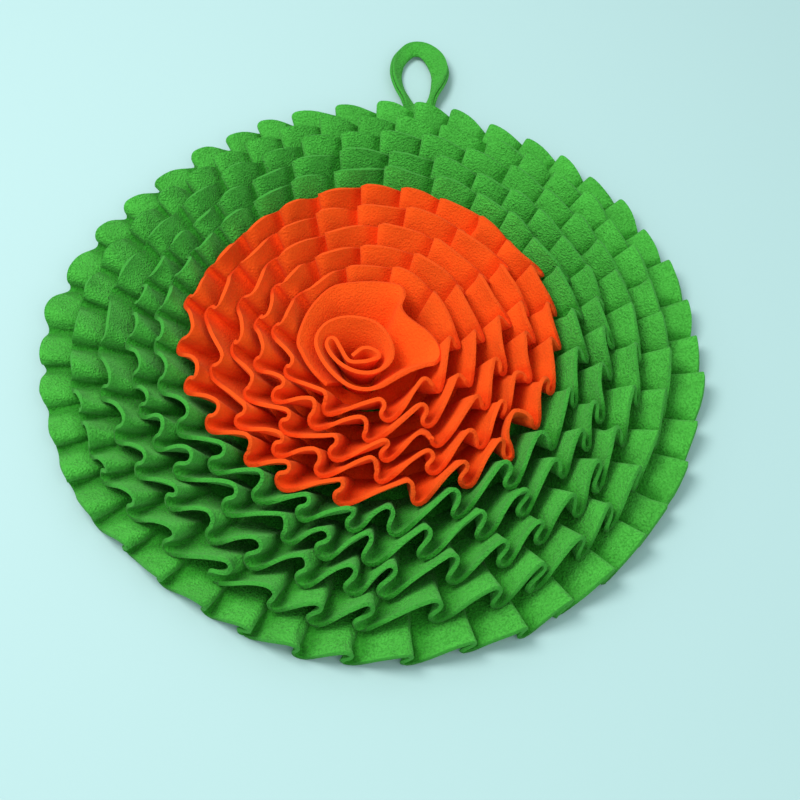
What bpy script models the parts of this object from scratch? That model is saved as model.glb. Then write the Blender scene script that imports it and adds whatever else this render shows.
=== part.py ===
"""Round snuffle mat of pleated fleece ruffles.

Ten strips of fleece stand on a flat round base cloth in concentric rows, five
green rows outside and five orange rows inside.  Each row is pleated in knife
pleats whose folds all point anticlockwise, leans outwards, and lies over the
root of the next row.  A wound orange rosette closes the middle, and a green
hanging loop is sewn to the edge of the base.

Metres, +Z up.  The origin is the centre of the base cloth's underside.
"""

import math

import bmesh
import bpy
import numpy as np

MM = 0.001

# Cloth and clearances
CLOTH = 2.6 * MM
BASE_CLOTH = 2.6 * MM
BASE_MARGIN = 1.0 * MM
BASE_SIDES = 72
ROOT_LIFT = 0.4 * MM

# One row of the table is one ruffle, from the rim inwards.  Root and tip are radii,
# height is the middle of the tip, depth is how far the folds stand up and down, and
# east and north place the row's centre, all in mm.  Swing (degrees) is how far the
# cloth turns over a crest: past a right angle the next valley is tucked under it.
RUFFLE_FIELDS = (
    "name", "colour", "root", "tip", "height", "depth", "swing", "east", "north",
)
RUFFLES = (
    ("green_ruffle_1", "green", 182.0, 219.5, 10.0, 14.4, 134.0, 0.0, 0.0),
    ("green_ruffle_2", "green", 164.0, 198.0, 21.5, 14.9, 136.0, 0.0, 0.0),
    ("green_ruffle_3", "green", 147.0, 177.5, 28.5, 14.5, 136.0, 0.0, 0.0),
    ("green_ruffle_4", "green", 130.0, 157.5, 32.5, 14.0, 136.0, 0.0, -0.4),
    ("green_ruffle_5", "green", 113.0, 139.5, 35.0, 13.0, 134.0, 0.0, -1.2),
    ("orange_ruffle_1", "orange", 96.5, 122.5, 36.5, 11.9, 134.0, 0.0, -2.3),
    ("orange_ruffle_2", "orange", 80.2, 105.4, 37.6, 10.8, 130.0, -0.3, -3.9),
    ("orange_ruffle_3", "orange", 64.5, 89.0, 38.0, 10.0, 126.0, -0.8, -5.6),
    ("orange_ruffle_4", "orange", 49.0, 72.5, 38.5, 9.8, 120.0, -1.6, -7.4),
    ("orange_ruffle_5", "orange", 36.0, 57.5, 38.5, 8.8, 112.0, -2.8, -9.2),
)

# Where the pleats stand: the bearing (degrees) at which each pleat's crest turns back,
# row by row from the rim inwards and round each row from the front.
CRESTS = (
    (-83.7, -73.7, -65.4, -56.8, -48.1, -40.0, -33.0, -24.2, -16.1, -6.2, 1.6, 9.4,
     18.4, 26.6, 34.5, 42.2, 49.7, 57.4, 65.4, 73.6, 81.1, 88.6, 97.0, 106.0, 113.4,
     120.6, 128.8, 138.4, 146.6, 155.0, 165.2, 174.8, 183.3, 191.6, 200.0, 208.0,
     216.2, 224.8, 233.2, 242.2, 250.6, 258.8, 267.3),
    (-88.6, -77.7, -67.0, -57.8, -49.2, -39.9, -30.8, -22.2, -12.6, -3.5, 5.0, 13.5,
     21.9, 30.0, 38.3, 46.4, 54.2, 63.4, 74.2, 84.2, 92.6, 101.2, 110.4, 118.6,
     126.6, 134.4, 142.6, 151.8, 161.2, 170.4, 180.0, 189.0, 197.0, 204.2, 211.4,
     220.4, 231.0, 244.4, 253.0, 261.5),
    (-85.0, -72.6, -62.0, -53.4, -44.6, -35.0, -25.2, -14.8, -3.5, 6.6, 16.0, 25.0,
     33.8, 43.8, 54.2, 66.0, 77.2, 87.4, 97.0, 106.8, 117.4, 128.8, 141.0, 154.0,
     167.0, 182.0, 194.2, 204.8, 214.8, 225.4, 235.8, 247.6, 258.6, 267.4),
    (-76.4, -63.4, -51.5, -40.6, -30.8, -21.6, -10.9, -0.4, 9.0, 18.8, 29.2, 39.6,
     49.4, 59.8, 72.2, 84.8, 98.2, 111.6, 123.8, 134.6, 144.4, 153.8, 163.6, 172.6,
     181.6, 192.4, 201.8, 211.0, 222.0, 236.4, 251.2, 260.8, 270.2),
    (-84.2, -66.4, -50.4, -36.6, -20.6, -7.4, 6.8, 21.0, 33.0, 44.2, 56.0, 70.0, 85.6,
     101.0, 114.6, 127.6, 140.4, 151.4, 162.0, 173.0, 184.0, 195.6, 210.6, 226.4,
     240.0, 253.8, 265.6),
    (-77.6, -60.0, -46.3, -33.1, -19.2, -4.8, 9.4, 24.2, 37.0, 50.6, 65.4, 79.2, 93.0,
     107.8, 122.6, 138.0, 153.4, 168.4, 183.8, 199.2, 214.2, 230.2, 244.6, 261.8),
    (-87.0, -67.6, -50.6, -34.0, -18.0, -2.6, 11.4, 30.4, 53.0, 75.4, 94.6, 111.4,
     128.6, 148.0, 171.0, 195.6, 218.6, 236.8, 252.6),
    (-82.6, -62.0, -36.8, -15.8, 5.8, 31.0, 58.6, 85.6, 110.8, 136.2, 161.4, 186.6,
     208.6, 232.6, 256.4),
    (-57.7, -29.4, -0.6, 31.4, 63.0, 94.0, 120.6, 146.0, 170.6, 194.2, 217.4, 241.6,
     269.0),
    (-78.0, -42.0, -4.0, 36.0, 71.0, 104.0, 138.0, 172.0, 206.0, 242.0),
)

# How the folds change round the mat: at a bearing (degrees), what is added to the
# swing (degrees), what the depth is multiplied by, and how round a fold is, from 0,
# a sharp crease, to 1, arcs that meet.  Each row inwards keeps less of the change.
MANNER_FIELDS = ("bearing", "swing", "depth", "round")
MANNERS = (
    (-140.0, -14.0, 1.02, 0.86),
    (-90.0, 0.0, 1.08, 0.82),
    (-45.0, 8.0, 1.08, 0.76),
    (0.0, 14.0, 0.98, 0.66),
    (60.0, 14.0, 0.88, 0.60),
    (110.0, 4.0, 0.84, 0.66),
    (150.0, -38.0, 0.80, 0.80),
    (185.0, -62.0, 0.76, 0.85),
)
MANNER_FADE = 0.84

# The roundest fold's bend (mm).  A pleat's depth follows the power of its own width
# over the row's middle one, and its swing wavers from pleat to pleat (degrees).
SOFTEST_BEND = 4.4
DEPTH_POWER = 0.22
SWING_WAVER = 5.0
WAVER_STEP = 2.4

# Half way up a row its folds are shallower and drop no further than straight down.
MIDDLE_SHARE = 0.5
MIDDLE_DEPTH = 0.46
MIDDLE_BEND = 1.6
MIDDLE_SWING = 88.0
MIDDLE_OF_TIP_SWING = 0.8

# A corner's offset is at most this many times half the cloth.
MITRE_LIMIT = 1.45

# How far the rim stands out of round (mm) at bearings in degrees, and how much of
# that each row inwards keeps.
OUTLINE_FIELDS = ("bearing", "offset")
OUTLINE = (
    (-90.0, 2.0), (-55.0, 3.5), (0.0, 3.0), (55.0, 0.0), (92.0, 0.5), (135.0, -5.0),
    (175.0, 5.5), (205.0, 0.5), (232.0, -6.0),
)
OUTLINE_FADE = 0.82

# Rosette: the top edge of one wound strip, from its inner end outwards, in mm.
# Lean is the share by which its root is drawn in towards the rosette's middle.
ROSETTE_FIELDS = ("x", "y", "height", "lean")
ROSETTE_PATH = (
    (4.0, -24.0, 35.0, 0.05),
    (-6.0, -26.5, 35.5, 0.05),
    (-14.5, -25.0, 36.0, 0.05),
    (-20.5, -14.5, 36.5, 0.05),
    (-24.5, -10.5, 36.5, 0.05),
    (-28.0, -14.5, 36.5, 0.06),
    (-24.5, -24.5, 36.5, 0.08),
    (-16.0, -32.0, 37.0, 0.09),
    (-5.0, -35.0, 37.5, 0.10),
    (6.0, -33.5, 38.0, 0.11),
    (13.0, -24.0, 39.0, 0.12),
    (11.0, -9.5, 40.0, 0.14),
    (2.0, 0.5, 40.0, 0.16),
    (-12.5, 5.0, 40.0, 0.18),
    (-26.0, 2.0, 40.0, 0.18),
    (-35.5, -10.0, 39.5, 0.20),
    (-33.5, -25.0, 39.0, 0.22),
    (-25.0, -38.5, 38.0, 0.24),
    (-12.0, -46.5, 37.0, 0.26),
    (3.0, -46.0, 37.0, 0.25),
    (17.0, -40.5, 37.5, 0.22),
    (29.0, -34.0, 37.5, 0.26),
    (39.0, -28.5, 37.0, 0.32),
    (41.0, -19.0, 37.0, 0.34),
    (36.5, -6.5, 37.5, 0.32),
    (28.0, 2.5, 38.0, 0.29),
    (21.5, 9.5, 38.5, 0.27),
    (21.0, 20.0, 39.0, 0.36),
    (13.5, 29.0, 39.0, 0.42),
    (-2.0, 32.5, 39.0, 0.43),
    (-18.5, 31.0, 38.5, 0.43),
    (-33.0, 21.5, 38.0, 0.42),
    (-43.0, 6.5, 37.5, 0.36),
    (-46.0, -7.5, 37.0, 0.29),
    (-42.0, -17.0, 37.0, 0.25),
)
ROSETTE_MIDDLE = (-9.0, -16.0)
ROSETTE_STEPS = 3

# Hanging loop: a strap of folded fleece in plan, its two ends side by side under
# the rim row against the base's edge.  Width and thickness are its section's, and
# roll turns that section from lying flat towards standing on edge.
LOOP_FIELDS = ("x", "y", "height", "width", "thickness", "roll")
LOOP_PATH = (
    (24.4, 183.0, 1.55, 9.0, 2.1, 0.0),
    (27.5, 193.0, 1.55, 9.0, 2.1, 0.0),
    (31.0, 205.0, 1.7, 9.0, 2.4, 0.0),
    (32.6, 216.0, 2.5, 9.0, 3.4, 0.0),
    (31.6, 225.0, 3.9, 9.0, 4.6, 16.0),
    (28.0, 235.0, 5.5, 9.3, 5.2, 42.0),
    (22.2, 248.0, 6.0, 9.6, 5.2, 55.0),
    (19.3, 263.0, 6.2, 10.0, 5.2, 58.0),
    (22.2, 278.5, 6.4, 10.5, 5.2, 50.0),
    (31.0, 289.5, 6.6, 11.0, 5.2, 36.0),
    (43.0, 291.0, 6.6, 12.0, 5.2, 22.0),
    (53.5, 282.0, 6.6, 12.5, 5.2, 24.0),
    (58.5, 266.0, 6.8, 12.0, 5.2, 42.0),
    (56.5, 250.0, 6.8, 11.5, 5.2, 60.0),
    (50.0, 236.0, 6.2, 10.5, 5.2, 50.0),
    (45.0, 225.0, 4.1, 9.5, 4.6, 18.0),
    (42.2, 215.0, 2.5, 9.0, 3.4, 0.0),
    (40.6, 204.0, 1.7, 9.0, 2.4, 0.0),
    (37.3, 192.0, 1.55, 9.0, 2.1, 0.0),
    (34.2, 181.4, 1.55, 9.0, 2.1, 0.0),
)
LOOP_STEPS = 2

# The strap's section as shares of its width and thickness: its corners are cut off.
LOOP_SECTION = (
    (-0.50, -0.35), (-0.50, 0.35), (-0.36, 0.50), (0.36, 0.50),
    (0.50, 0.35), (0.50, -0.35), (0.36, -0.50), (-0.36, -0.50),
)

# The rim row is raised over the loop's root (mm).
LOOP_BEARING = math.radians(80.0)
RIM_LIFT_AT_LOOP = 6.5
RIM_LIFT_SPREAD = math.radians(7.0)

# Colours of the fleece, linear
COLOURS = {
    "green": (0.035, 0.33, 0.025, 1.0),
    "orange": (0.82, 0.075, 0.008, 1.0),
}
FLEECE_ROUGHNESS = 0.95


def clear_scene():
    """Remove every object that the file starts with."""
    for thing in list(bpy.data.objects):
        bpy.data.objects.remove(thing, do_unlink=True)


def cloth_material(name, colour):
    """Return a matt Principled material of one of the two fleece colours."""
    material = bpy.data.materials.new(name)
    material.use_nodes = True
    shader = material.node_tree.nodes["Principled BSDF"]
    shader.inputs["Base Color"].default_value = COLOURS[colour]
    shader.inputs["Roughness"].default_value = FLEECE_ROUGHNESS
    return material


def add_object(name, mesh, colour):
    """Make an object of a mesh and give it its own material."""
    thing = bpy.data.objects.new(name, mesh)
    bpy.context.collection.objects.link(thing)
    mesh.materials.append(cloth_material(name + "_cloth", colour))


def read_table(fields, rows):
    """Turn a table with named columns into a list of dictionaries."""
    return [dict(zip(fields, row)) for row in rows]


def round_table(fields, rows, bearing):
    """Read a table whose rows go round the mat at a bearing, joined smoothly."""
    table = read_table(fields, rows)
    table.append({**table[0], "bearing": table[0]["bearing"] + 360.0})
    place = (math.degrees(bearing) - table[0]["bearing"]) % 360.0 + table[0]["bearing"]
    for row, after in zip(table, table[1:]):
        if place <= after["bearing"]:
            part = (place - row["bearing"]) / (after["bearing"] - row["bearing"])
            ease = 0.5 - 0.5 * math.cos(math.pi * part)
            return {key: row[key] + ease * (after[key] - row[key]) for key in fields[1:]}
    return table[0]


def outline_offset(bearing):
    """Offset of the rim from round (mm) at a bearing."""
    return round_table(OUTLINE_FIELDS, OUTLINE, bearing)["offset"]


def crest_to_valley(depth, bend, swing):
    """Way along the row from a crest fold's middle to the next valley fold's (mm)."""
    short = (depth - 2.0 * bend * (1.0 - math.cos(swing))) / math.sin(swing)
    return 2.0 * bend * math.sin(swing) + short * math.cos(swing)


def pleat_points(pitch, depth, bend, swing):
    """Middle line of one knife pleat, as (along, across) in mm.

    The line turns through the valley fold, climbs the long face to the crest,
    turns through the swing angle and comes down the short face to the next
    valley.  Three points turn each fold.
    """
    ahead = pitch - crest_to_valley(depth, bend, swing)
    climb = math.atan2(depth - 2.0 * bend, ahead)
    climb += math.asin(2.0 * bend / math.hypot(ahead, depth - 2.0 * bend))
    points = []
    for heading in (-swing, 0.5 * (climb - swing), climb):
        lift = bend * (1.0 - math.cos(heading))
        points.append((bend * math.sin(heading), lift - 0.5 * depth))
    for heading in (climb, 0.5 * (climb - swing), -swing):
        drop = bend * (1.0 - math.cos(heading))
        points.append((ahead - bend * math.sin(heading), 0.5 * depth - drop))
    return points


def rim_lift(bearing):
    """Extra height of the rim row over the hanging loop's root (mm)."""
    off = (bearing - LOOP_BEARING + math.pi) % (2.0 * math.pi) - math.pi
    return RIM_LIFT_AT_LOOP * math.exp(-((off / RIM_LIFT_SPREAD) ** 2))


class Slant:
    """The leaning cone on which one row stands, from its root to its tip."""

    def __init__(self, row, order):
        """Read a row of the table; order counts the rows from the rim."""
        self.centre = np.array([row["east"], row["north"], 0.0])
        self.root = row["root"]
        self.tip = row["tip"]
        self.fade = OUTLINE_FADE ** order
        self.lifted = order == 0
        seat = (BASE_CLOTH + ROOT_LIFT) / MM
        self.slope = math.atan2(row["height"] - seat, row["tip"] - row["root"])
        self.low = seat + 0.5 * CLOTH / MM * math.cos(self.slope)
        self.high = row["height"]

    def point(self, share, bearing, across):
        """Point at a share of the way from root to tip, raised across the slant (mm)."""
        tip = self.tip + self.fade * outline_offset(bearing)
        radius = self.root + share * (tip - self.root) - across * math.sin(self.slope)
        height = self.low + share * (self.high - self.low) + across * math.cos(self.slope)
        if self.lifted:
            height += share * rim_lift(bearing)
        return self.centre + np.array([
            radius * math.cos(bearing), radius * math.sin(bearing), height,
        ])

    def upward(self, bearing):
        """Direction square to the slant, up and inwards."""
        return np.array([
            -math.sin(self.slope) * math.cos(bearing),
            -math.sin(self.slope) * math.sin(bearing),
            math.cos(self.slope),
        ])


def fold_line(slant, share, pleats, level):
    """Middle line of a whole row at one level: the points of every pleat."""
    line = []
    radius = slant.root + share * (slant.tip - slant.root)
    for pleat in pleats:
        depth, bend, swing = pleat[level]
        for along, across in pleat_points(pleat["span"] * radius, depth, bend, swing):
            line.append(slant.point(share, pleat["start"] + along / radius, across))
    return np.array(line)


def thicken(line, slants):
    """Offset a closed line to both sides of the cloth; slants run from root to tip."""
    half = 0.5 * CLOTH / MM
    count = len(line)
    upper, lower = [], []
    for index in range(count):
        before = np.cross(slants[index], line[index] - line[index - 1])
        after = np.cross(slants[index], line[(index + 1) % count] - line[index])
        mitre = before / np.linalg.norm(before) + after / np.linalg.norm(after)
        length = np.linalg.norm(mitre)
        reach = half * min(2.0 / length, MITRE_LIMIT)
        upper.append(line[index] + reach * mitre / length)
        lower.append(line[index] - reach * mitre / length)
    return upper, lower


def row_pleats(row, order):
    """Work out the size of every pleat of a row: depth, bend and swing at each level."""
    crests = np.radians(CRESTS[order])
    widths = (crests - np.roll(crests, 1)) % (2.0 * math.pi)
    kept = MANNER_FADE ** order
    pleats = []
    for number, (crest, width) in enumerate(zip(crests, widths)):
        manner = round_table(MANNER_FIELDS, MANNERS, crest)
        depth = row["depth"] * (1.0 + kept * (manner["depth"] - 1.0))
        depth *= (width / np.median(widths)) ** DEPTH_POWER
        waver = SWING_WAVER * math.sin(WAVER_STEP * number + order)
        swing = math.radians(row["swing"] + kept * manner["swing"] + waver)
        bend = min(0.5 * manner["round"] * depth / (1.0 - math.cos(swing)), SOFTEST_BEND)
        middle_swing = min(math.radians(MIDDLE_SWING), MIDDLE_OF_TIP_SWING * swing)
        pleats.append({
            "end": crest + (crest_to_valley(depth, bend, swing) - bend) / row["tip"],
            "middle": (MIDDLE_DEPTH * depth, MIDDLE_BEND, middle_swing),
            "tip": (depth, bend, swing),
        })
    for pleat, before in zip(pleats, pleats[-1:] + pleats[:-1]):
        pleat["start"] = before["end"]
        pleat["span"] = (pleat["end"] - before["end"]) % (2.0 * math.pi)
    return pleats


def ruffle(row, order):
    """Build one pleated row as a closed ring of cloth, root to tip."""
    slant = Slant(row, order)
    pleats = row_pleats(row, order)
    middle = fold_line(slant, MIDDLE_SHARE, pleats, "middle")
    tip = fold_line(slant, 1.0, pleats, "tip")
    slants = tip - middle
    tip_upper, tip_lower = thicken(tip, slants)
    middle_upper, middle_lower = thicken(middle, slants)
    root_upper, root_lower = [], []
    half = 0.5 * CLOTH / MM
    for pleat in pleats:
        for part in (0.0, 0.5):
            bearing = pleat["start"] + part * pleat["span"]
            root = slant.point(0.0, bearing, 0.0)
            root_upper.append(root + half * slant.upward(bearing))
            root_lower.append(root - half * slant.upward(bearing))

    mesh = bmesh.new()
    lines = (root_lower, root_upper, middle_upper, tip_upper, tip_lower, middle_lower)
    lines = [add_line(mesh, line) for line in lines]
    root_lower, root_upper, middle_upper, tip_upper, tip_lower, middle_lower = lines
    band(mesh, root_lower, root_upper)
    band(mesh, middle_upper, tip_upper)
    band(mesh, tip_upper, tip_lower)
    band(mesh, tip_lower, middle_lower)
    gather(mesh, root_upper, middle_upper)
    gather(mesh, root_lower, middle_lower)
    return finish_mesh(mesh, row["name"])


def smooth_path(rows, steps):
    """Read a table's columns along a smooth curve through its rows."""
    points = np.array(rows)
    path = []
    for index in range(len(points) - 1):
        before = points[max(index - 1, 0)]
        start, end = points[index], points[index + 1]
        after = points[min(index + 2, len(points) - 1)]
        for step in range(steps):
            t = step / steps
            path.append(0.5 * (
                2.0 * start + (end - before) * t
                + (2.0 * before - 5.0 * start + 4.0 * end - after) * t ** 2
                + (3.0 * start - before - 3.0 * end + after) * t ** 3
            ))
    path.append(points[-1])
    return np.array(path)


def sides(line):
    """Level direction to the left of an open line at each of its points, with mitres."""
    steps = np.diff(line[:, :2], axis=0)
    steps /= np.linalg.norm(steps, axis=1)[:, None]
    before = np.vstack((steps[:1], steps))
    after = np.vstack((steps, steps[-1:]))
    left = before + after
    left /= np.linalg.norm(left, axis=1)[:, None]
    stretch = 1.0 / np.maximum(np.sum(left * after, axis=1), 1.0 / MITRE_LIMIT)
    return np.stack((-left[:, 1], left[:, 0]), axis=1), stretch


def open_strip(name, lines):
    """Join open lines round a section into one closed solid with ends."""
    mesh = bmesh.new()
    grid = [add_line(mesh, line) for line in lines]
    for number, near in enumerate(grid):
        far = grid[(number + 1) % len(grid)]
        for index in range(len(near) - 1):
            mesh.faces.new((near[index], near[index + 1], far[index + 1], far[index]))
    mesh.faces.new([line[0] for line in grid])
    mesh.faces.new([line[-1] for line in grid])
    return finish_mesh(mesh, name)


def rosette():
    """Build the wound strip in the middle of the mat."""
    path = smooth_path(ROSETTE_PATH, ROSETTE_STEPS)
    lean = path[:, 3:4]
    tip = path[:, :3]
    root = np.hstack((
        tip[:, :2] * (1.0 - lean) + np.array(ROSETTE_MIDDLE) * lean,
        np.full((len(tip), 1), (BASE_CLOTH + ROOT_LIFT) / MM),
    ))
    lines = []
    for line, side in ((root, 1.0), (root, -1.0), (tip, -1.0), (tip, 1.0)):
        left, stretch = sides(line)
        offset = side * 0.5 * CLOTH / MM * stretch[:, None] * left
        lines.append(np.hstack((line[:, :2] + offset, line[:, 2:3])))
    return open_strip("rosette", lines)


def hanging_loop():
    """Build the folded strap of the hanging loop."""
    path = smooth_path(LOOP_PATH, LOOP_STEPS)
    left, _ = sides(path[:, :3])
    lines = []
    for across, up in LOOP_SECTION:
        line = []
        for number, (x, y, height, width, thickness, roll) in enumerate(path):
            turn = math.radians(roll)
            level = across * width * math.cos(turn) - up * thickness * math.sin(turn)
            rise = across * width * math.sin(turn) + up * thickness * math.cos(turn)
            line.append((x + level * left[number][0], y + level * left[number][1], height + rise))
        lines.append(line)
    return open_strip("hanging_loop", lines)


def base_cloth():
    """Build the round cloth that the rows are sewn to."""
    radius = RUFFLES[0][RUFFLE_FIELDS.index("root")] * MM + BASE_MARGIN
    mesh = bmesh.new()
    bmesh.ops.create_cone(
        mesh, cap_ends=True, cap_tris=False, segments=BASE_SIDES,
        radius1=radius, radius2=radius, depth=BASE_CLOTH,
    )
    bmesh.ops.translate(mesh, verts=mesh.verts, vec=(0.0, 0.0, 0.5 * BASE_CLOTH))
    return finish_mesh(mesh, "base_cloth")


def add_line(mesh, line):
    """Add a line of points, given in mm, to a mesh."""
    return [mesh.verts.new([value * MM for value in point]) for point in line]


def finish_mesh(mesh, name):
    """Face a closed mesh outwards, cut it into triangles and return it as data."""
    bmesh.ops.recalc_face_normals(mesh, faces=mesh.faces)
    bmesh.ops.triangulate(mesh, faces=mesh.faces)
    data = bpy.data.meshes.new(name)
    mesh.to_mesh(data)
    mesh.free()
    return data


def band(mesh, near, far):
    """Fill between two closed lines of equal length."""
    count = len(near)
    for index in range(count):
        after = (index + 1) % count
        mesh.faces.new((near[index], near[after], far[after], far[index]))


def gather(mesh, root, fold):
    """Fill between the root, two points a pleat, and the folds, six points a pleat."""
    for pleat in range(len(root) // 2):
        valley = root[2 * pleat]
        face = root[2 * pleat + 1]
        after = root[(2 * pleat + 2) % len(root)]
        v1, v2, v3, c1, c2, c3 = fold[6 * pleat:6 * pleat + 6]
        next_v1 = fold[(6 * pleat + 6) % len(fold)]
        triangles = (
            (valley, v2, v1), (valley, v3, v2), (valley, face, v3), (face, c1, v3),
            (face, after, c1), (after, c2, c1), (after, c3, c2), (after, next_v1, c3),
        )
        for triangle in triangles:
            mesh.faces.new(triangle)


def main():
    """Build the mat."""
    clear_scene()
    for order, row in enumerate(read_table(RUFFLE_FIELDS, RUFFLES)):
        add_object(row["name"], ruffle(row, order), row["colour"])
    add_object("rosette", rosette(), "orange")
    add_object("hanging_loop", hanging_loop(), "green")
    add_object("base_cloth", base_cloth(), "green")


main()
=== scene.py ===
"""Dressed model of a round snuffle mat of pleated fleece.

Ten pleated rows of fleece stand on a round base cloth, five green rows outside
and five orange rows inside, round a wound orange rosette.  A folded strap makes
the hanging loop at the rim.  Metres, +Z up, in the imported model's own frame.
"""

from __future__ import annotations

import logging
import math
from collections.abc import Sequence
from dataclasses import astuple, dataclass, fields
from enum import Enum

import bmesh
import bpy
import numpy as np
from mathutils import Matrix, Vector, noise
from mathutils.bvhtree import BVHTree

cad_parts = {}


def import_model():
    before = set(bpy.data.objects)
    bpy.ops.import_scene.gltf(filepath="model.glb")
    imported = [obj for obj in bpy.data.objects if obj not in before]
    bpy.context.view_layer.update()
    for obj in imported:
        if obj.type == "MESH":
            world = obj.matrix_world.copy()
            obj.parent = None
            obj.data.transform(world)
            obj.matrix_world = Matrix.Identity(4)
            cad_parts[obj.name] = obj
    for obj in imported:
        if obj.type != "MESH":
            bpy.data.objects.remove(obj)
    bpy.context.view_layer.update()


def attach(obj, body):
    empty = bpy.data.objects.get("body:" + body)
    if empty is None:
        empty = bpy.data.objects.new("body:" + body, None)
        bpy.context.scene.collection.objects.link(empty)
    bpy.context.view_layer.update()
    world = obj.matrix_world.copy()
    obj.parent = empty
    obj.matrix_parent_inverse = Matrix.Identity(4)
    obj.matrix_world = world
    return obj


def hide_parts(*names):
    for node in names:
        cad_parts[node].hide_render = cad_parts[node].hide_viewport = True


LOG = logging.getLogger("snuffle_mat")

MM = 0.001
CLOTH = 2.6 * MM
BODY = "root"
BASE_NODE = "base_cloth"
BASE_TOP = 2.6 * MM
ROOT_LIFT = 0.4 * MM
SEAM_LEVEL = BASE_TOP + ROOT_LIFT
CLOTH_NAME = "{}_cloth"

# Attributes on a sheet's points, which its material reads: where the cut edges are,
# which take a darker colour as painted shade, and how much painted shade the folds take.
CUT_EDGE = "cut_edge"
PAINTED_FOLD_SHADE = "fold_depth"

# How a sheet's cut edges are rounded.
RIM = 1.05 * MM
RIM_SEGMENTS = 2
RIM_ANGLE = math.radians(62.0)

# How a seed shifts an uneven pattern in each direction.
SEED_SHIFT = (1.0, 2.3, -1.7)


class Fleece(Enum):
    """The two fleeces, named by their material slot."""

    GREEN = "green_fleece"
    ORANGE = "orange_fleece"


def link(thing: bpy.types.Object) -> bpy.types.Object:
    """Put an object in the scene and return it."""
    bpy.context.scene.collection.objects.link(thing)
    return thing


def mesh_object(name: str, mesh: bmesh.types.BMesh) -> bpy.types.Object:
    """Turn a bmesh into a smooth-shaded object in the scene.

    Args:
        name: The object's name.
        mesh: The finished bmesh, which is freed.

    Returns:
        The object, at the origin.
    """
    data = bpy.data.meshes.new(name)
    mesh.to_mesh(data)
    mesh.free()
    data.shade_smooth()
    return link(bpy.data.objects.new(name, data))


def smooth_curve(rows: Sequence[Sequence[float]], steps: int) -> np.ndarray:
    """Read a table's columns along a smooth curve through its rows.

    Args:
        rows: The rows, each a sequence of numbers.
        steps: How many points each stretch between two rows is given.

    Returns:
        One row of the same columns for each point of the curve.
    """
    knots = np.array(rows, dtype=float)
    points = []
    for index in range(len(knots) - 1):
        before = knots[max(index - 1, 0)]
        start, end = knots[index], knots[index + 1]
        after = knots[min(index + 2, len(knots) - 1)]
        for step in range(steps):
            t = step / steps
            points.append(0.5 * (
                2.0 * start + (end - before) * t
                + (2.0 * before - 5.0 * start + 4.0 * end - after) * t ** 2
                + (3.0 * start - before - 3.0 * end + after) * t ** 3
            ))
    points.append(knots[-1])
    return np.array(points)


def ripple(points: np.ndarray, size: float, seed: float) -> np.ndarray:
    """Smooth uneven values from -1 to 1 over points.

    Args:
        points: Points in metres, one a row.
        size: How far apart the bumps are, in metres.
        seed: Shifts the pattern, so that two of them differ.

    Returns:
        One value for each point.
    """
    shift = Vector([part * seed for part in SEED_SHIFT])
    return np.array([noise.noise(Vector(point) / size + shift) for point in points])


@dataclass(frozen=True)
class Manner:
    """How the folds of the rows run at one bearing.

    Swing is added to a row's own (degrees), depth multiplies it, and round is how
    round a fold is, from 0, a sharp crease, to 1, arcs that meet.  Valley is the
    share of that roundness that the valley takes, tooth how far (mm) a crest's tip
    stands out past the middle of the row, kept is how much of the change each row
    inwards keeps, and bulge how far a face swells, as a share of the folds' depth.
    """

    bearing: float
    swing: float
    depth: float
    round: float
    valley: float
    tooth: float
    kept: float
    bulge: float


@dataclass(frozen=True)
class RimOffset:
    """How far the rim stands out of round (mm) at one bearing (degrees)."""

    bearing: float
    offset: float


@dataclass(frozen=True)
class Around:
    """A table whose rows go round the mat, read at any bearing."""

    rows: tuple[Manner, ...] | tuple[RimOffset, ...]

    def at(self, bearing: np.ndarray) -> dict[str, np.ndarray]:
        """Read the table's columns at some bearings.

        Args:
            bearing: The bearings, in radians.

        Returns:
            The values of each column but the bearing, by name.
        """
        names = [column.name for column in fields(self.rows[0])]
        table = np.array([astuple(row) for row in (*self.rows, self.rows[0])])
        table[-1, 0] += 360.0
        place = (np.degrees(bearing) - table[0, 0]) % 360.0 + table[0, 0]
        index = np.searchsorted(table[:, 0], place, side="right") - 1
        near, far = table[index], table[index + 1]
        part = (place - near[:, 0]) / (far[:, 0] - near[:, 0])
        ease = 0.5 - 0.5 * np.cos(math.pi * part)
        values = near + ease[:, None] * (far - near)
        return dict(zip(names[1:], values.T[1:]))


MANNERS = Around(tuple(Manner(*row) for row in (
    (-140.0, -8.0, 1.02, 0.90, 0.50, 1.8, 0.96, 0.12),
    (-110.0, 0.0, 1.08, 0.88, 0.52, 1.6, 0.98, 0.12),
    (-80.0, 2.0, 1.12, 0.86, 0.54, 1.6, 0.98, 0.12),
    (-50.0, 6.0, 1.06, 0.84, 0.54, 2.0, 0.96, 0.12),
    (-22.0, 13.0, 0.86, 0.84, 0.50, 2.6, 0.82, 0.16),
    (0.0, 15.0, 0.72, 0.84, 0.48, 2.8, 0.78, 0.20),
    (40.0, 15.0, 0.66, 0.86, 0.46, 3.0, 0.84, 0.24),
    (75.0, 11.0, 0.64, 0.88, 0.44, 3.2, 0.94, 0.26),
    (110.0, 1.0, 0.64, 0.90, 0.42, 3.4, 0.94, 0.26),
    (135.0, -22.0, 0.70, 0.92, 0.42, 3.2, 0.90, 0.26),
    (155.0, -44.0, 0.80, 0.95, 0.42, 2.6, 0.80, 0.22),
    (185.0, -48.0, 0.88, 0.95, 0.42, 2.4, 0.78, 0.18),
    (202.0, -30.0, 0.94, 0.90, 0.46, 2.2, 0.84, 0.15),
)))

OUTLINE = Around(tuple(RimOffset(*row) for row in (
    (-90.0, 2.0), (-55.0, 3.5), (0.0, 3.0), (55.0, 0.0), (92.0, 0.5), (135.0, -5.0), (175.0, 5.5),
    (205.0, 0.5), (232.0, -6.0),
)))


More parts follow.
